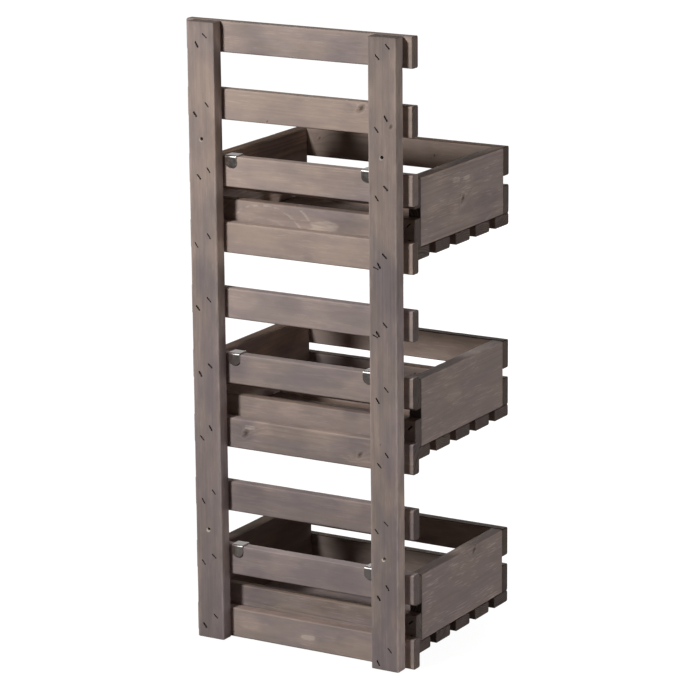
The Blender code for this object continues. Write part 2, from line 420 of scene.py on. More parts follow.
def wood_group():
    """Stained softwood in millimetres: growth rings round a pith, fibres, knots, uneven stain, rubbed arrises, and
    painted shade on the narrow sides and deep in slots and holes.
    """
    tree = bpy.data.node_groups.new("stained_softwood", "ShaderNodeTree")
    for name in WOOD_NUMBERS:
        tree.interface.new_socket(name, in_out="INPUT", socket_type="NodeSocketFloat")
    for kind, count in MARKS.items():
        for number in range(count):
            tree.interface.new_socket(f"{kind} {number}", in_out="INPUT", socket_type="NodeSocketVector")
    for name, kind in (("Color", "Color"), ("Roughness", "Float"), ("Height", "Float")):
        tree.interface.new_socket(name, in_out="OUTPUT", socket_type="NodeSocket" + kind)
    entry = tree.nodes.new("NodeGroupInput")
    leave = tree.nodes.new("NodeGroupOutput")
    given = {socket.name: Flow(tree, socket) for socket in entry.outputs if socket.name}
    x, y, z = given["Along"], given["Across"], given["Through"]
    start = given["Seed"] * SEED_STRIDE

    def cloud(long, wide, shift, *kind):
        """Noise between 0 and 1, drawn out along the grain."""
        return noise(tree, point(tree, x / long + (start + shift), y / wide, z / wide), *kind)

    mottle, patch, tint, streak, blot, fibre, hair, dash, sway, lean = (cloud(*row) for row in CLOUDS.values())

    def from_mark(kind, number, wander=1.0, slant=0.0):
        """The steps along and across the grain from a mark's middle, and its size."""
        parts = tree.nodes.new("ShaderNodeSeparateXYZ")
        feed(tree, parts.inputs[0], given[f"{kind} {number}"])
        mark_x, mark_y, size = (Flow(tree, socket) for socket in parts.outputs)
        dx = (x - mark_x) + (blot - 0.5) * MARK_WANDER[0] * wander
        dy = (y - mark_y) + (mottle - 0.5) * MARK_WANDER[1] * wander + dx * slant
        return dx, dy, size

    def knot(number):
        """How far a knot pushes the rings aside, its core, its body, its pale rim and the swirl's tail."""
        dx, dy, size = from_mark("Knot", number, slant=KNOT_SLANT)
        size = size.by("MAXIMUM", NO_SIZE)
        dx = dx + (blot - 0.5) * size * KNOT_RAGGED[0]
        ring = length_of(dx / KNOT_LENGTH, dy) / size
        near = length_of(dx / SWIRL_LENGTH, dy / SWIRL_HEIGHT) / size
        return (
            (near * near * SWIRL_FALL).by("EXPONENT") * size * SWIRL_PUSH,
            (ring + (fibre - 0.5) * KNOT_RAGGED[1]).smooth(*KNOT_CORE),
            ring.smooth(*KNOT_BODY),
            ring.smooth(*KNOT_RIM) * ring.smooth(*KNOT_RIM_END),
            near.smooth(*SWIRL_TAIL),
        )

    def rubbed(number):
        dx, dy, size = from_mark("Rub", number)
        size = size.by("MAXIMUM", NO_SIZE)
        long, high = dx / size / RUB_LENGTH, dy / size
        ragged = (blot - 0.5) * RUB_RAGGED[0] + (mottle - 0.5) * RUB_RAGGED[1]
        return (length_of(long * long, high * high).by("SQRT") + ragged).smooth(*RUB_EDGE)

    def bloomed(number):
        """1 in a bloom that is warm and light, -1 in one that is cool and dark."""
        dx, dy, size = from_mark("Bloom", number, wander=BLOOM_WANDER)
        reached = length_of(dx / BLOOM_LENGTH, dy) / size.by("ABSOLUTE").by("MAXIMUM", NO_SIZE)
        return reached.smooth(*BLOOM_EDGE) * size.by("SIGN")

    knots = list(zip(*(knot(number) for number in range(MARKS["Knot"]))))
    push = total(knots[0])
    core, body, rim, tail = (strongest(zones) for zones in knots[1:])
    rub = strongest(rubbed(number) for number in range(MARKS["Rub"])) * hair.smooth(*RUB_HAIR)
    bloom = total(bloomed(number) for number in range(MARKS["Bloom"]))

    dx, dy, size = from_mark("Arc", 0)
    swung = length_of(dx, dy)
    turn = (swung / ARC_SPACING).by("FRACT")
    arc = turn.smooth(*ARC_START) * turn.smooth(*ARC_END) * blot.smooth(*ARC_BLOT)
    arc = arc * (swung - size).by("ABSOLUTE").smooth(*ARC_BAND)

    ring_y = y - given["Pith across"] + (sway - 0.5) * RING_SWAY[0]
    ring_z = z - given["Pith through"] + (lean - 0.5) * RING_SWAY[1]
    reach = length_of(ring_y, ring_z) + push + (hair - 0.5) * RING_HAIR
    band = noise(tree, point(tree, reach / BAND_WIDTH, start, BAND_SHIFT), 1.0)
    turn = (reach / given["Ring width"] + band * BAND_STRENGTH).by("FRACT")
    late = turn.smooth(*LATE_START) * turn.smooth(*LATE_END) * patch.smooth(*LATE_PATCH)

    past_long, past_side, past_face = (
        place.by("ABSOLUTE") - given[half]
        for place, half in ((x, "Half along"), (y, "Half across"), (z, "Half through"))
    )
    worn = past_side.smooth(*WORN_EDGE) * past_face.smooth(*WORN_EDGE) * hair.smooth(*WORN_HAIR) * given["Wear"]
    handled = past_side.smooth(*HANDLED_EDGE) * mottle.smooth(*HANDLED_MOTTLE) * given["Wear"]
    narrow = past_side.smooth(*NARROW_SIDE)
    end = past_long.smooth(*END_FACE)
    near_end = past_long.smooth(*NEAR_END)
    # Painted shade deep in the staple slots and wall holes, where the wood lies well below the faces
    sunk = past_face.smooth(*SUNK_FROM_FACE) * past_side.smooth(*SUNK_FROM_SIDE) * past_long.smooth(*SUNK_FROM_END)

    figure = given["Figure"]
    dashes = dash.smooth(*DASH_EDGE) * mottle.smooth(*DASH_MOTTLE) * given["Lines"]
    uneven = weighed(UNEVEN, patch=patch - 0.5, mottle=mottle - 0.5)
    warm = given["Warmth"] + uneven * given["Variety"]
    warm = warm + x / given["Half along"] * given["Fade"] + bloom * BLOOM_WARMTH
    light = weighed(
        LIGHT, mottle=(mottle - 0.5) * given["Variety"], streak=(streak - 0.5) * given["Streaks"], blot=blot - 0.5,
        fibre=fibre - 0.5, band=(band - 0.5) * figure, late=(late - 0.25) * figure, tail=tail * (hair - 0.5),
        bloom=bloom,
    )
    tone = given["Tone"] * (x / given["Half along"] * given["Slope"] + 1.0) * (light + 1.0)
    tone = tone * (weighed(TONE, worn=worn, handled=handled, dashes=dashes) + 1.0)
    tone = tone * (near_end * END_TONE + 1.0) * (rim * RIM_TONE + 1.0)

    cool = mix(tree, tint.smooth(*UMBER_TINT) * given["Umber"], GREY_STAIN, UMBER_STAIN)
    colour = scaled(tree, mix(tree, warm, cool, WARM_STAIN), tone)
    # Painted shade: a narrow side is drawn darker and warmer, by as much as its board's edge says, for the light it
    # gets less of
    colour = scaled(tree, colour, narrow * (given["Edge"] - 1.0) + 1.0)
    narrow_shade_tint = narrow * (given["Edge"] * -NARROW_SHADE_TINT_STRENGTH + NARROW_SHADE_TINT_STRENGTH)
    colour = mix(tree, narrow_shade_tint, colour, NARROW_SHADE_TINT, "MULTIPLY")
    paled = (rub * RUB_COVER).by("MAXIMUM", arc * ARC_COVER)
    colour = mix(tree, paled, colour, scaled(tree, RUBBED_STAIN, tone))
    colour = mix(tree, body * (hair * BODY_COVER[0] + BODY_COVER[1]), colour, KNOT_STAIN_AND_HOLE_SHADE)
    colour = mix(tree, core * CORE_COVER, colour, KNOT_STAIN_AND_HOLE_SHADE)
    end_tone = weighed(END_GRAIN, fibre=fibre, late=late) + given["End"]
    colour = mix(tree, end * END_COVER, colour, scaled(tree, colour, end_tone))
    colour = scaled(tree, colour, sunk * RECESS_PAINTED_SHADE + 1.0)

    rough = weighed(ROUGHENED, fibre=fibre - 0.5, mottle=mottle - 0.5, late=late, end=end, worn=worn) + ROUGHNESS
    height = weighed(
        RAISED, late=late * (figure + LEAST_FIGURE), fibre=fibre, hair=hair, blot=blot, core=core, rim=rim,
        end=end * fibre,
    )
    for name, value in (("Color", colour), ("Roughness", rough), ("Height", height)):
        feed(tree, leave.inputs[name], value)
    return tree


def new_material(name):
    material = bpy.data.materials.new(name)
    material.use_nodes = True
    tree = material.node_tree
    return material, tree, tree.nodes["Principled BSDF"]


def bump(tree, height, shader):
    """Height in millimetres."""
    made = tree.nodes.new("ShaderNodeBump")
    made.inputs["Distance"].default_value = MM
    feed(tree, made.inputs["Height"], height)
    tree.links.new(made.outputs[0], shader.inputs["Normal"])


def object_place(tree):
    """The three object coordinates, in millimetres."""
    place = tree.nodes.new("ShaderNodeTexCoord")
    parts = tree.nodes.new("ShaderNodeSeparateXYZ")
    tree.links.new(place.outputs["Object"], parts.inputs[0])
    return [Flow(tree, socket) * (1 / MM) for socket in parts.outputs]


# What the photograph shows of each board. tone is its lightness, warmth the share of warm stain, and slope and fade
# what they gain towards the high end. variety is how much the warmth comes and goes, and umber the share of umber in
# the cool parts. figure, streaks and lines are the strengths of the rings, the streaks and the short pale dashes.
# edge and end are the lightness of the narrow sides and the end grain beside the faces, and wear is how rubbed the
# long edges are. edge is painted shade: the narrow sides are drawn darker and warmer for the light they get less of.
# pith is the middle of the rings, across and through, and the width of a ring. Marks are (x or y, height, radius) in
# millimetres: knots, rubs, curved scratches, and blooms, where the stain came out warm and light or, with a radius
# below 0, cool and dark. The blooms of the crates' front boards are painted light and painted shade instead
BOARD_LOOKS = {
    "slat_01": dict(
        tone=1.05, warmth=0.58, umber=0.6, figure=0.3, end=0.50,
        blooms=((-87, 422, -26), (57, 409, -20), (23, 436, 24)),
    ),
    "slat_02": dict(
        tone=1.05, warmth=0.82, variety=0.8, umber=0.6, figure=0.3,
        knots=((-100, 346, 6.5), (50, 314, 1.8)), blooms=((94, 334, 28), (-35, 335, 22), (-83, 345, -9)),
    ),
    "slat_03": dict(
        tone=1.15, warmth=0.68, umber=0.2, figure=0.3, end=0.58, blooms=((80, 236, 36), (-74, 233, -34)),
    ),
    "slat_04": dict(
        tone=1.11, warmth=0.82, variety=0.8, umber=0.5, figure=0.25,
        blooms=((73, 144, 26), (-57, 146, 26), (-13, 129, -6)),
    ),
    "slat_05": dict(
        tone=1.31, warmth=0.33, variety=0.6, umber=0.3, figure=0.3,
        blooms=((-80, 58, -30), (96, 55, 20), (17, 57, -16)),
    ),
    "slat_06": dict(
        tone=1.13, warmth=0.32, umber=0.3, figure=0.3, end=0.25,
        blooms=((108, -45, -19), (71, -48, 17), (-95, -50, 17)),
    ),
    "slat_07": dict(
        tone=1.09, warmth=0.40, umber=0.3, figure=0.7, pith=(-30, -34, 4.6),
        knots=((93, -140, 6.5), (-95, -146, 4.5)), rubs=((86, -131, 3.2),),
        blooms=((66, -129, 12), (-38, -128, 24), (98, -141, -12)),
    ),
    "slat_08": dict(
        tone=1.11, warmth=0.24, variety=0.7, umber=0.1, figure=0.3, blooms=((88, -227, -20), (-78, -226, 14)),
    ),
    "slat_09": dict(
        tone=1.32, warmth=0.20, variety=0.7, umber=0.1, figure=0.3, end=0.42,
        blooms=((31, -320, 18), (-69, -334, -18), (82, -347, -12)),
    ),
    "slat_10": dict(
        tone=1.46, warmth=0.46, variety=0.8, umber=0.5, figure=0.3, edge=0.8,
        rubs=((-6, -431, 4.4),), blooms=((91, -423, 13), (-6, -434, 11), (-68, -427, -11)),
    ),
    "left_post": dict(
        tone=1.00, slope=-0.21, warmth=0.42, fade=0.10, figure=0.3, streaks=2.1, end=0.80,
        knots=((-159, 329, 3.4), (-140, -120, 1.6)),
        blooms=((-150, 389, 30), (-151, -97, 26), (-138, 100, -40)),
    ),
    "right_post": dict(
        tone=1.02, slope=-0.12, warmth=0.45, fade=0.30, umber=0.3, figure=0.3, streaks=1.6, end=0.80,
        blooms=((141, 362, 26), (152, 75, -26), (129, 128, 12)),
    ),
    "top_crate_lower_back_board": dict(
        tone=1.07, warmth=0.55, figure=0.6, rubs=((-30, 170, 7.5), (-8, 163, 3.0)),
        blooms=((92, 181, 18), (-60, 174, -26), (-28, 168, 12)), arcs=((69, 112, 82),),
    ),
    "middle_crate_lower_back_board": dict(
        tone=1.12, warmth=0.45, figure=0.3, blooms=((109, -101, -14), (31, -102, 12), (-68, -97, -10)),
    ),
    "bottom_crate_lower_back_board": dict(
        tone=1.18, warmth=0.40, umber=0.7, figure=1.7, lines=0.8, pith=(20, -26, 5.0),
        blooms=((82, -394, -20), (-32, -391, -14)),
    ),
    # The crates' front boards and right ends are seen from inside the crates. Their tones and the front boards'
    # blooms are painted light and painted shade: each is drawn lighter or darker for the light that falls inside its
    # crate
    "top_crate_upper_front_board": dict(
        tone=0.77, warmth=1.00, umber=1.0, figure=0.9, edge=0.5,
        knots=((133, 236, 3.0), (-60, 228, 2.6)), blooms=((60, 225, -22), (-20, 235, 18)),
    ),
    "top_crate_lower_front_board": dict(edge=0.4),
    "middle_crate_upper_front_board": dict(
        tone=0.93, warmth=0.95, umber=1.0, figure=0.5, edge=0.15, blooms=((-60, -50, 22), (40, -40, -26)),
    ),
    "middle_crate_lower_front_board": dict(edge=0.4),
    "bottom_crate_upper_front_board": dict(tone=0.82, warmth=0.90, umber=1.0, figure=0.5, edge=0.3),
    "bottom_crate_lower_front_board": dict(tone=0.80, warmth=0.60, umber=0.8, edge=0.4),
    "top_crate_right_end": dict(tone=1.44, warmth=0.50, umber=0.5, figure=1.5, edge=0.3, pith=(10, 20, 5.0)),
    "middle_crate_right_end": dict(tone=1.42, warmth=0.40, umber=0.5, figure=0.5, edge=0.3),
    "bottom_crate_right_end": dict(tone=0.72, warmth=0.60, umber=0.9, figure=0.5, edge=0.4),
    "top_crate_left_end": dict(
        tone=1.05, warmth=0.45, variety=0.6, umber=0.3, figure=1.0, lines=1.0, edge=0.6, wear=1.0,
        pith=(-14, 24, 5.2), knots=((-179, 199, 6.0),), rubs=((-160, 229, 4.4), (-190, 227, 3.8)),
        blooms=((-101, 218, 24), (-254, 175, -26), (-200, 221, 10)),
    ),
    "middle_crate_left_end": dict(
        tone=0.96, warmth=0.38, variety=0.45, umber=0.3, figure=0.4, lines=1.0, edge=0.95, wear=0.7,
        blooms=((-88, -34, -18), (-224, -30, 9), (-156, -81, 14)),
    ),
    "bottom_crate_left_end": dict(
        tone=0.96, warmth=0.36, variety=0.45, umber=0.15, figure=0.6, lines=1.5, edge=0.72, wear=0.7,
        knots=((-213, -327, 6.0),), blooms=((-219, -328, -14), (-155, -338, 9)),
    ),
}

# What a board has where its looks say nothing. The first wear is for posts, the first edge for posts and slats
PLAIN_LOOK = dict(variety=1.0, umber=0.4, streaks=1.0, lines=0.4, fade=0.0, slope=0.0, end=0.31)
PLAIN_WEAR = (1.0, 0.25)
PLAIN_EDGE = (1.0, 0.7)

# The least and the most of what is drawn by lot
SEEDS = (1, 40)
LOTS = dict(tone=(0.92, 1.05), warmth=(0.35, 0.65), figure=(0.25, 0.7))
PITH_ACROSS = (-22, 22)
PITH_THROUGH = (28, 75)
RING_WIDTHS = (2.3, 3.9)

# The marks that are drawn by lot: their sizes, how far out they lie, and where an arc lies that isn't there
PLAIN_SIZES = {
    "Knot": (0.0, 0.0, 0.0, 1.4, 2.2), "Rub": (0.0,), "Bloom": (-28.0, -18.0, -12.0, 12.0, 18.0, 28.0), "Arc": (0.0,),
}
MARK_SPREAD = 0.85
NO_ARC = (0.0, 900.0)


def board_axes(low, high):
    """A board's axes from its longest side, which the grain follows, to its shortest."""
    size = high - low
    return sorted(range(3), key=lambda axis: -size[axis])


def drawn_look(name, rng):
    """All numbers of a board's look: what BOARD_LOOKS says, and the rest plain or by lot."""
    post = name.endswith("_post")
    look = dict(PLAIN_LOOK)
    look["wear"] = PLAIN_WEAR[0 if post else 1]
    look["edge"] = PLAIN_EDGE[0 if post or name.startswith("slat") else 1]
    look["seed"] = rng.uniform(*SEEDS)
    for key, ends in LOTS.items():
        look[key] = rng.uniform(*ends)
    look["pith"] = (
        rng.uniform(*PITH_ACROSS), rng.choice((-1, 1)) * rng.uniform(*PITH_THROUGH), rng.uniform(*RING_WIDTHS),
    )
    look.update(BOARD_LOOKS.get(name, {}))
    look["pith across"], look["pith through"], look["ring width"] = look["pith"]
    return look


def wood_material(name, low, high, group):
    rng = random.Random(name)
    look = drawn_look(name, rng)
    axes = board_axes(low, high)
    middle = (low + high) / 2
    half = (high - low) / 2
    material, tree, shader = new_material(name + "_stain")
    place = object_place(tree)
    made = tree.nodes.new("ShaderNodeGroup")
    made.node_tree = group
    for label in WOOD_NUMBERS:
        if label.lower() in look:
            made.inputs[label].default_value = look[label.lower()]
    for label, axis in zip(("Along", "Across", "Through"), axes):
        feed(tree, made.inputs[label], place[axis] - middle[axis] / MM)
        made.inputs["Half " + label.lower()].default_value = half[axis] / MM
    level_axis = 1 if 1 in axes[:2] else 0
    for kind, count in MARKS.items():
        spots = look.get(kind.lower() + "s", ())
        for number in range(count):
            spread = [rng.uniform(-MARK_SPREAD, MARK_SPREAD) for _ in range(2)]
            size = 0.0 if "blooms" in look else rng.choice(PLAIN_SIZES[kind])
            if number < len(spots):
                level, height, size = spots[number]
                values = {level_axis: level, 2: height}
                along, across = (values[axis] - middle[axis] / MM for axis in axes[:2])
            elif kind == "Arc":
                along, across = NO_ARC
            else:
                along, across = (share * half[axis] / MM for share, axis in zip(spread, axes))
            made.inputs[f"{kind} {number}"].default_value = (along, across, size)
    colour = Flow(tree, made.outputs["Color"])
    height = Flow(tree, made.outputs["Height"])
    if name.endswith("_post"):
        colour, height = hole_shade_and_lit_lips(tree, place, middle, colour, height)
    feed(tree, shader.inputs["Base Color"], colour)
    feed(tree, shader.inputs["Roughness"], Flow(tree, made.outputs["Roughness"]))
    bump(tree, height, shader)
    shader.inputs["Specular IOR Level"].default_value = WOOD_SHINE
    return material


# The torn lip of a wall hole, in millimetres: the cells of its noise, its middle beside and below the hole's, and
# how frayed and soft its outline is. Its strength falls from the lower hole to the upper one. The pale torn wood is
# partly real and partly a painted highlight: it sits on the side of the bore that the key lamp lights, and is
# stronger at the lower hole, whose bore the lamp lights more
TORN_CELLS = (1.2, 2.0)
LIT_TORN_MIDDLE = (1.5, 1.4)
TORN_RAGGED = 1.6
TORN_SOFT = 0.7
LIT_TORN_STRENGTH = (100, -100, 0.30, 0.95)
TORN_DEPTH = 0.2
HOLE_SOFT = 0.1
HOLE_PAINTED_SHADE = 0.8


def hole_shade_and_lit_lips(tree, place, middle, colour, height):
    """Painted shade in a post's two wall holes, and beside each the pale wood where the drill tore its lip, which is
    also a painted highlight where the key lamp lights the bore.
    """
    across = place[0] - middle[0] / MM
    along = place[2].by("ABSOLUTE") - WALL_HOLE_HEIGHT
    ragged = noise(tree, point(tree, across / TORN_CELLS[0], place[2] / TORN_CELLS[1], 1.0), 3.0, 0.7)
    inside = length_of(across, along).smooth(WALL_HOLE_RADIUS + HOLE_SOFT, WALL_HOLE_RADIUS - HOLE_SOFT)
    below = place[2] + place[2].by("SIGN") * -WALL_HOLE_HEIGHT + LIT_TORN_MIDDLE[1]
    torn = length_of(across - LIT_TORN_MIDDLE[0], below) - ragged * TORN_RAGGED
    torn = torn.smooth(WALL_HOLE_RADIUS + HOLE_SOFT, WALL_HOLE_RADIUS - TORN_SOFT)
    # Painted highlight: the lower hole's lip is drawn paler than the upper one's, as the key lamp lights more of its
    # bore
    torn = torn * place[2].smooth(*LIT_TORN_STRENGTH)
    # Painted shade inside the bore, in the knots' dark colour
    colour = mix(tree, inside * HOLE_PAINTED_SHADE, colour, KNOT_STAIN_AND_HOLE_SHADE)
    return mix(tree, torn, colour, RAW_WOOD), height - torn * TORN_DEPTH


# The steel: the sizes of its clouds and scratches in millimetres, and how much they change its tone, roughness and
# height
STEEL_CLOUD = 6
STEEL_SCRATCH = (0.35, 9)
CLOUD_TONE = 0.20
CLOUD_ROUGHNESS = 0.20
SCRATCH_ROUGHNESS = 0.12
CLOUD_HEIGHT = 0.012
SCRATCH_HEIGHT = 0.008


def steel_material(name, colour, roughness, scratched):
    """Zinc-plated steel: soft cloudy plating, fine scratches and a little dulling."""
    material, tree, shader = new_material(name)
    x, y, z = object_place(tree)
    cloud = noise(tree, point(tree, x / STEEL_CLOUD, y / STEEL_CLOUD, z / STEEL_CLOUD))
    fine, long = STEEL_SCRATCH
    line = noise(tree, point(tree, x / fine, y / long, z / long), 2.0, 0.6)
    tone = (cloud - 0.5) * CLOUD_TONE + (line - 0.5) * scratched + 1.0
    rough = (cloud - 0.5) * CLOUD_ROUGHNESS + (line - 0.5) * SCRATCH_ROUGHNESS + roughness
    feed(tree, shader.inputs["Base Color"], scaled(tree, colour, tone))
    feed(tree, shader.inputs["Roughness"], rough)
    bump(tree, line * SCRATCH_HEIGHT + cloud * CLOUD_HEIGHT, shader)
    shader.inputs["Metallic"].default_value = 1.0
    return material


def new_piece(name, bm, material, smooth=True, body=None):
    bmesh.ops.recalc_face_normals(bm, faces=bm.faces)
    mesh = bpy.data.meshes.new(name)
    bm.to_mesh(mesh)
    bm.free()
    piece = bpy.data.objects.new(name, mesh)
    bpy.context.scene.collection.objects.link(piece)
    if material:
        mesh.materials.append(material)
    if smooth:
        mesh.shade_smooth()
        mesh.set_sharp_from_angle(angle=math.radians(SHARP_ANGLE))
    if body:
        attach(piece, body)
    return piece


def even_normals(piece):
    """Keeps the flat faces flat beside their rounded edges."""
    weighted = piece.modifiers.new("even_normals", "WEIGHTED_NORMAL")
    weighted.mode = "FACE_AREA"
    weighted.keep_sharp = True


def cut_away(piece, shape):
    """Takes a bmesh's shape out of the piece for good."""
    cutter = new_piece("cutter", shape, None, smooth=False)
    modifier = piece.modifiers.new("cut", "BOOLEAN")
    modifier.operation = "DIFFERENCE"
    modifier.solver = "EXACT"
    modifier.object = cutter
    bpy.context.view_layer.update()
    result = bpy.data.meshes.new_from_object(piece.evaluated_get(bpy.context.evaluated_depsgraph_get()))
    piece.modifiers.clear()
    old = piece.data
    piece.data = result
    result.name = old.name
    bpy.data.meshes.remove(old)
    bpy.data.objects.remove(cutter)


def ring_faces(bm, rings, closed_ends=True):
    """Joins rings of vertices, one after another, into a skin."""
    for first, second in zip(rings, rings[1:]):
        count = len(first)
        for index in range(count):
            following = (index + 1) % count
            bm.faces.new((first[index], first[following], second[following], second[index]))
    if closed_ends:
        bm.faces.new(rings[0])
        bm.faces.new(list(reversed(rings[-1])))


def rounded_ring(half_wide, half_thick, radii, steps):
    """Points round a rectangle whose four corners have their own radii."""
    points = []
    for corner, (radius, sign_wide, sign_thick) in enumerate(zip(radii, (1, -1, -1, 1), (1, 1, -1, -1))):
        turn = math.radians(90 * corner)
        for step in range(steps + 1):
            angle = turn + math.radians(90) * step / steps
            wide = sign_wide * (half_wide - radius) + radius * math.cos(angle)
            thick = sign_thick * (half_thick - radius) + radius * math.sin(angle)
            points.append((wide, thick))
    return points


def board_bmesh(low, high, name):
    """A planed board: long arrises rounded and a little worn, sawn ends lightly eased."""
    axes = board_axes(low, high)
    half = (high - low) / 2
    middle = (low + high) / 2
    half_long, half_wide, half_thick = (half[axis] for axis in axes)
    rng = random.Random(name)
    phase = random.Random(name).uniform(*WAVE_SEEDS)
    inner = half_long - END_EASING
    count = round(2 * inner / STATION)
    stations = [-half_long] + [-inner + 2 * inner * step / count for step in range(count + 1)] + [half_long]
    nicks = [
        (rng.uniform(-inner, inner), rng.randrange(4), rng.uniform(*NICK_LENGTHS), rng.uniform(*NICK_DEPTHS))
        for _ in range(rng.randint(*NICK_COUNTS))
    ]
    bm = bmesh.new()
    rings = []
    for station in stations:
        inset = END_EASING if abs(station) > inner + END_EASING / 2 else 0
        radii = []
        for corner in range(4):
            wave = perlin(Vector((station * WAVE_PACE, corner * WAVE_SHIFT, phase)))
            radius = ARRIS * (1 + WAVE_SHARE * wave)
            for place, where, width, depth in nicks:
                if where == corner:
                    radius += depth * MM * math.exp(-((station - place) / (width * MM)) ** 2)
            radii.append(radius)
        ring = []
        for wide, thick in rounded_ring(half_wide - inset, half_thick - inset, radii, ARRIS_STEPS):
            spot = Vector()
            for axis, value in zip(axes, (station, wide, thick)):
                spot[axis] = middle[axis] + value
            ring.append(bm.verts.new(spot))
        rings.append(ring)
    ring_faces(bm, rings)
    return bm


def swept_strip(path, half_widths, thickness, edge):
    """A strip of sheet steel along a path of (spot, forward, normal), with eased edges."""
    bm = bmesh.new()
    rings = []
    for (spot, forward, normal), half_width in zip(path, half_widths):
        side = forward.cross(normal)
        points = rounded_ring(half_width, thickness / 2, [edge] * 4, STRIP_EDGE_STEPS)
        rings.append([bm.verts.new(spot + side * wide + normal * thick) for wide, thick in points])
    ring_faces(bm, rings)
    return bm


def bent_path(corners, bend, steps):
    """(spot, forward, normal) along straight lines through corners in one plane, each turned on a radius."""
    plane = (corners[1] - corners[0]).cross(corners[2] - corners[1]).normalized()
    lines = [(end - start).normalized() for start, end in zip(corners, corners[1:])]
    path = [(corners[0], lines[0], lines[0].cross(plane))]
    for corner, before, after in zip(corners[1:], lines, lines[1:]):
        angle = before.angle(after)
        start = corner - before * (bend * math.tan(angle / 2))
        centre = start + plane.cross(before) * bend
        for step in range(steps + 1):
            turn = Matrix.Rotation(angle * step / steps, 3, plane)
            forward = turn @ before
            path.append((centre + turn @ (start - centre), forward, forward.cross(plane)))
    path.append((corners[-1], lines[-1], lines[-1].cross(plane)))
    return path


def staple_bmesh():
    """One staple's crown, lying along X at height 0 with its legs going down in -Z."""
    half = STAPLE_CROWN / 2 - STAPLE_THICKNESS / 2
    level = -STAPLE_THICKNESS / 2
    ends = ((-half, -STAPLE_LEG), (-half, level), (half, level), (half, -STAPLE_LEG))
    path = bent_path([Vector((x, 0, z)) for x, z in ends], STAPLE_BEND, STAPLE_BEND_STEPS)
    return swept_strip(path, [STAPLE_WIRE / 2] * len(path), STAPLE_THICKNESS, STAPLE_EDGE)


def slot_bmesh():
    """The ragged slot that a staple's crown leaves in the face, open above height 0."""
    bm = bmesh.new()
    rng = random.Random("slot")
    half = STAPLE_CROWN / 2 + SLOT_END_ROOM
    wide = STAPLE_WIRE / 2 + SLOT_SIDE_ROOM
    rings = []
    for height, grow in ((-STAPLE_DEPTH - SLOT_BELOW, 0.0), (-SLOT_LIP, 0.0), (SLOT_FLARE, SLOT_FLARE)):
        ring = []
        for side in (1, -1):
            for step in range(SLOT_STEPS + 1):
                across = -1 + 2 * step / SLOT_STEPS
                bulge = (1 - across * across) * SLOT_BULGE * MM
                ragged = 0 if step in (0, SLOT_STEPS) else rng.uniform(*SLOT_TEARS) * MM
                spot = (side * across * (half + grow), -side * (wide + grow + bulge + ragged), height)
                ring.append(bm.verts.new(spot))
        rings.append(ring)
    ring_faces(bm, rings)
    bmesh.ops.recalc_face_normals(bm, faces=bm.faces)
    return bm


def placed_copies(template, places):
    """One bmesh of the template's copies, each moved by its matrix."""
    mesh = bpy.data.meshes.new("template")
    template.to_mesh(mesh)
    template.free()
    bm = bmesh.new()
    for matrix in places:
        before = set(bm.verts)
        bm.from_mesh(mesh)
        bmesh.ops.transform(bm, matrix=matrix, verts=[vert for vert in bm.verts if vert not in before])
    bpy.data.meshes.remove(mesh)
    return bm


def face_matrix(spot, outward, turn):
    """Stands a template on a face: its Z along outward, an axis, and its X turned from the level line."""
    outward = Vector(outward)
    level = Vector((1, 0, 0)) if outward.z else Vector((0, 0, 1)).cross(outward)
    turned = Matrix.Rotation(math.radians(turn), 3, outward) @ level
    rotation = Matrix((turned, outward.cross(turned), outward)).transposed().to_4x4()
    return Matrix.Translation(spot) @ rotation


# How far each staple sits from the middle of its crossing, in millimetres along X and Z, for each slat from the top:
# the upper staple and the lower one
POST_STAPLES = {
    "right_post": (
        ((-7.7, 3.0), (5.3, -10.1)), ((-9.4, 1.4), (10.0, -13.7)), ((-10.5, 3.7), (5.4, -7.2)),
        ((-9.1, 4.2), (12.1, -10.4)), ((-7.1, 7.4), (11.5, -6.8)), ((-7.1, 5.7), (9.5, -8.0)),
        ((-5.9, 9.0), (8.7, -7.3)), ((-9.4, 9.4), (8.5, -6.2)), ((-7.8, 8.0), (10.0, -3.5)),
        ((-9.0, 12.3), (9.7, -4.3)),
    ),
    "left_post": (
        ((-9.5, 9.8), (6.6, -5.7)), ((-6.3, 6.5), (8.5, -10.0)), ((-5.7, 5.5), (8.5, -9.9)),
        ((-3.2, 5.9), (5.6, -8.5)), ((-3.3, 3.9), (8.0, -10.1)), ((-4.7, 7.3), (9.0, -10.3)),
        ((-4.9, 8.4), (7.0, -8.0)), ((-3.1, 4.0), (12.0, -9.2)), ((-5.0, 5.5), (9.2, -11.8)),
        ((-8.0, 8.9), (10.5, -13.0)),
    ),
}

# Staples driven a second time, as (slat, X, Z, turn)
SECOND_STAPLES = {"left_post": ((4, 10.6, -12.5, -20), (5, 12.2, -13.5, -24))}


def post_staple_places(name, low, high):
    rng = random.Random(name + "_staples")
    staples = [
        (number, across, up, STAPLE_TURN + rng.uniform(-STAPLE_SWING, STAPLE_SWING))
        for number, pair in enumerate(POST_STAPLES[name], 1)
        for across, up in pair
    ]
    places = []
    for number, across, up, turn in (*staples, *SECOND_STAPLES.get(name, ())):
        slat_low, slat_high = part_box(f"slat_{number:02d}")
        middle = Vector(((low.x + high.x) / 2, high.y, (slat_low.z + slat_high.z) / 2))
        places.append(face_matrix(middle + Vector((across, 0, up)) * MM, (0, 1, 0), turn))
    return places


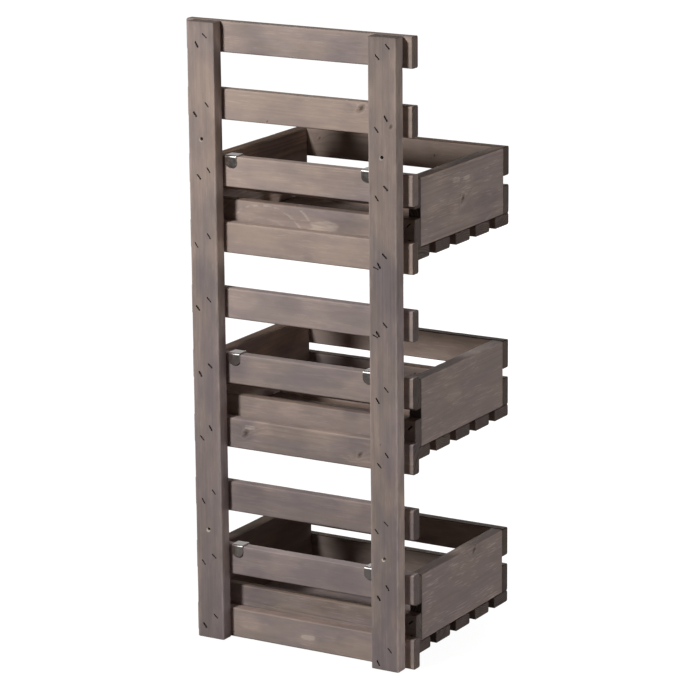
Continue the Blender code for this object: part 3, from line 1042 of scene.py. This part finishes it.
def crate_staple_places(name, low, high):
    """Two staples at each end of a crate's wall board or floor slat, driven from outside into the end panels."""
    rng = random.Random(name + "_staples")
    if "floor" in name:
        axis, outward, across = 2, Vector((0, 0, -1)), Vector((0, 1, 0))
    else:
        axis, outward, across = 1, Vector((0, 1 if "back" in name else -1, 0)), Vector((0, 0, 1))
    face = (low + high) / 2
    face[axis] = high[axis] if outward[axis] > 0 else low[axis]
    side_stray, end_stray = CRATE_STAPLE_STRAYS
    places = []
    for sign in (-1, 1):
        for side in (-1, 1):
            spot = face + across * (side * CRATE_STAPLE_SPREAD + rng.uniform(-side_stray, side_stray)) * MM
            spot.x = sign * (high.x - (CRATE_STAPLE_INSET + rng.uniform(-end_stray, end_stray)) * MM)
            places.append(face_matrix(spot, outward, rng.uniform(*CRATE_STAPLE_TURNS)))
    return places


def revolved(profile):
    """A bmesh turned round Z from (radius, height) points whose first and last lie on the axis."""
    bm = bmesh.new()
    bottom = bm.verts.new((0, 0, profile[0][1]))
    top = bm.verts.new((0, 0, profile[-1][1]))
    turns = [math.tau * step / ROUND_STEPS for step in range(ROUND_STEPS)]
    rings = [
        [bm.verts.new((radius * math.cos(turn), radius * math.sin(turn), height)) for turn in turns]
        for radius, height in profile[1:-1]
    ]
    ring_faces(bm, rings, closed_ends=False)
    for centre, ring in ((bottom, rings[0]), (top, rings[-1])):
        for index in range(ROUND_STEPS):
            bm.faces.new((centre, ring[index], ring[(index + 1) % ROUND_STEPS]))
    bmesh.ops.recalc_face_normals(bm, faces=bm.faces)
    return bm


def cross_blade(turn):
    """The cutter for one slot of a screw head's cross: a tapered blade, mouth up."""
    bm = bmesh.new()
    rotation = Matrix.Rotation(math.radians(turn), 3, "Z")
    rings = []
    for height, long, wide in CROSS_BLADE:
        corners = ((long, wide), (-long, wide), (-long, -wide), (long, -wide))
        rings.append([bm.verts.new(rotation @ Vector((a, b, height))) for a, b in corners])
    ring_faces(bm, rings)
    return bm


def screw_mesh():
    """A countersunk screw's head and the start of its shank, its top at height 0."""
    screw = new_piece("screw_template", revolved(SCREW_OUTLINE), None)
    for turn in (0, 90):
        cut_away(screw, cross_blade(turn))
    bm = bmesh.new()
    bm.from_mesh(screw.data)
    bpy.data.objects.remove(screw)
    return bm


def hook_piece(node, body, material):
    """The bent strip with rounded tips, eased edges and two countersunk holes."""
    low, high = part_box(node)
    half_width = (high.x - low.x) / 2
    half_thick = HOOK_THICKNESS / 2
    tab, top, leg = high.y - half_thick, high.z - half_thick, low.y + half_thick
    corners = ((tab, high.z - HOOK_TAB_DROP), (tab, top), (leg, top), (leg, low.z))
    spots = [Vector(((low.x + high.x) / 2, y, z)) for y, z in corners]
    path = bent_path(spots, HOOK_BEND + half_thick, HOOK_STEPS)
    first, last = path.pop(0), path.pop()
    turns = [math.radians(90) * step / HOOK_STEPS for step in range(HOOK_STEPS + 1)]
    rise = [HOOK_CORNER * (1 - math.cos(turn)) for turn in turns]
    half = [half_width - HOOK_CORNER * (1 - math.sin(turn)) for turn in turns]
    head = [(first[0] + first[1] * up, first[1], first[2]) for up in rise]
    tail = [(last[0] - last[1] * up, last[1], last[2]) for up in reversed(rise)]
    widths = half + [half_width] * len(path) + list(reversed(half))
    hook = new_piece(node + "_steel", swept_strip(head + path + tail, widths, HOOK_THICKNESS, HOOK_EDGE), material)
    cut_away(hook, placed_copies(revolved(SINK_OUTLINE), screw_places(low, high)))
    even_normals(hook)
    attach(hook, body)
    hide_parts(node)


def screw_places(low, high):
    x, y = (low.x + high.x) / 2, low.y + HOOK_THICKNESS
    return [face_matrix(Vector((x, y, high.z - drop)), (0, 1, 0), turn) for drop, turn in HOOK_SCREWS]


def cut_slots(piece, node, places):
    rng = random.Random(node + "_slots")
    torn = [
        place @ Matrix.Diagonal((rng.uniform(*SLOT_LENGTHS), rng.uniform(*SLOT_WIDTHS), 1, 1)) for place in places
    ]
    cut_away(piece, placed_copies(slot_bmesh(), torn))


def drill_wall_holes(piece, low, high):
    x = (low.x + high.x) / 2
    heights = (sign * WALL_HOLE_HEIGHT * MM for sign in (-1, 1))
    holes = [face_matrix(Vector((x, high.y, z)), (0, 1, 0), 0) for z in heights]
    bottom = low.y - high.y - OVERRUN
    radius = WALL_HOLE_RADIUS * MM
    bore = ((0, bottom), (radius, bottom), (radius, OVERRUN), (0, OVERRUN))
    cut_away(piece, placed_copies(revolved(bore), holes))


def wood_piece(node, body, group, staple_places):
    low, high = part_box(node)
    material = wood_material(node, low, high, group)
    piece = new_piece(node + "_wood", board_bmesh(low, high, node), material)
    if staple_places:
        cut_slots(piece, node, staple_places)
    if node.endswith("_post"):
        drill_wall_holes(piece, low, high)
    even_normals(piece)
    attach(piece, body)
    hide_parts(node)


def make_object():
    group = wood_group()
    zinc = steel_material("hook_zinc", ZINC, *ZINC_FINISH)
    wire = steel_material("staple_wire", STAPLE_STEEL, *STAPLE_FINISH)
    screws = screw_mesh()
    for body, nodes in frame["record"]["behaviour"]["bodies"].items():
        staples, screw_spots = [], []
        for node in nodes:
            low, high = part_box(node)
            if node.endswith("_hook"):
                hook_piece(node, body, zinc)
                screw_spots += screw_places(low, high)
                continue
            places = []
            if node.endswith("_post"):
                places = post_staple_places(node, low, high)
            elif node.endswith("_board") or "_floor_" in node:
                places = crate_staple_places(node, low, high)
            wood_piece(node, body, group, places)
            staples += places
        sunk = [place @ Matrix.Translation((0, 0, -STAPLE_DEPTH)) for place in staples]
        new_piece(body + "_staples", placed_copies(staple_bmesh(), sunk), wire, body=body)
        if screw_spots:
            heads = placed_copies(screws.copy(), screw_spots)
            new_piece(body + "_screws", heads, zinc, body=body)
    screws.free()


def make_camera():
    azimuth, elevation, roll = (math.radians(value) for value in (CAMERA_AZIMUTH, CAMERA_ELEVATION, CAMERA_ROLL))
    level = math.cos(elevation)
    back = Vector((-math.sin(azimuth) * level, math.cos(azimuth) * level, math.sin(elevation)))
    right = (-back).cross(Vector((0, 0, 1))).normalized()
    level_view = Matrix((right, right.cross(-back), back)).transposed()
    turned = (level_view @ Matrix.Rotation(roll, 3, "Z")).to_4x4()
    camera = bpy.data.objects.new("photo_camera", bpy.data.cameras.new("photo_camera"))
    camera.data.lens = CAMERA_LENS
    camera.matrix_world = Matrix.Translation(CAMERA_TARGET + back * CAMERA_DISTANCE) @ turned
    bpy.context.scene.collection.objects.link(camera)
    bpy.context.scene.camera = camera


def make_lamp(name, spot, aim, size, power):
    """A soft lamp: size is its diameter, or its width and height."""
    data = bpy.data.lights.new(name, "AREA")
    if isinstance(size, tuple):
        data.shape = "RECTANGLE"
        data.size, data.size_y = size
    else:
        data.shape = "DISK"
        data.size = size
    data.energy = power
    lamp = bpy.data.objects.new(name, data)
    lamp.location = spot
    lamp.rotation_mode = "QUATERNION"
    lamp.rotation_quaternion = (Vector(aim) - Vector(spot)).to_track_quat("-Z", "Y")
    lamp.visible_camera = False
    lamp.visible_diffuse = name != GLINT_LAMP
    bpy.context.scene.collection.objects.link(lamp)


def light_paths(tree):
    """Whether a ray comes from the camera, from a shiny surface or through a clear one."""
    seen = tree.nodes.new("ShaderNodeLightPath")
    return [Flow(tree, seen.outputs[f"Is {kind} Ray"]) for kind in ("Camera", "Glossy", "Transmission")]


def make_world():
    """White behind everything; for light that scatters, a plain dim surround."""
    world = bpy.data.worlds.new("studio")
    bpy.context.scene.world = world
    world.use_nodes = True
    tree = world.node_tree
    camera, shiny, through = light_paths(tree)
    white = camera.by("MAXIMUM", shiny * METAL_SURROUND).by("MAXIMUM", through)
    feed(tree, tree.nodes["Background"].inputs["Color"], mix(tree, white, FILL_LIGHT, WHITE))


def make_floor():
    """A plain pale floor that shows white and keeps a soft shadow under the shelf."""
    bm = bmesh.new()
    bmesh.ops.create_grid(bm, x_segments=2, y_segments=2, size=FLOOR_HALF)
    bmesh.ops.translate(bm, verts=bm.verts, vec=(0, 0, cad_box[0].z - FLOOR_DROP))
    material, tree, shader = new_material("pale_floor")
    floor = new_piece("floor", bm, material, smooth=False)
    shader.inputs["Base Color"].default_value = (*FLOOR_COLOUR, 1.0)
    shader.inputs["Roughness"].default_value = FLOOR_ROUGHNESS
    shader.inputs["Emission Color"].default_value = (*WHITE, 1.0)
    camera, shiny, through = light_paths(tree)
    x, y, _ = object_place(tree)
    away = length_of(x, y)
    white = camera.by("MAXIMUM", through).by("MAXIMUM", shiny * away.smooth(*METAL_FLOOR_REACH, *METAL_FLOOR))
    feed(tree, shader.inputs["Emission Strength"], white * away.smooth(*FLOOR_FADE, FLOOR_WHITE, 1.0))


make_camera()
make_object()
for lamp_name, numbers in LAMPS.items():
    make_lamp(lamp_name, *numbers)
make_world()
make_floor()
bpy.context.scene.view_settings.view_transform = "Standard"
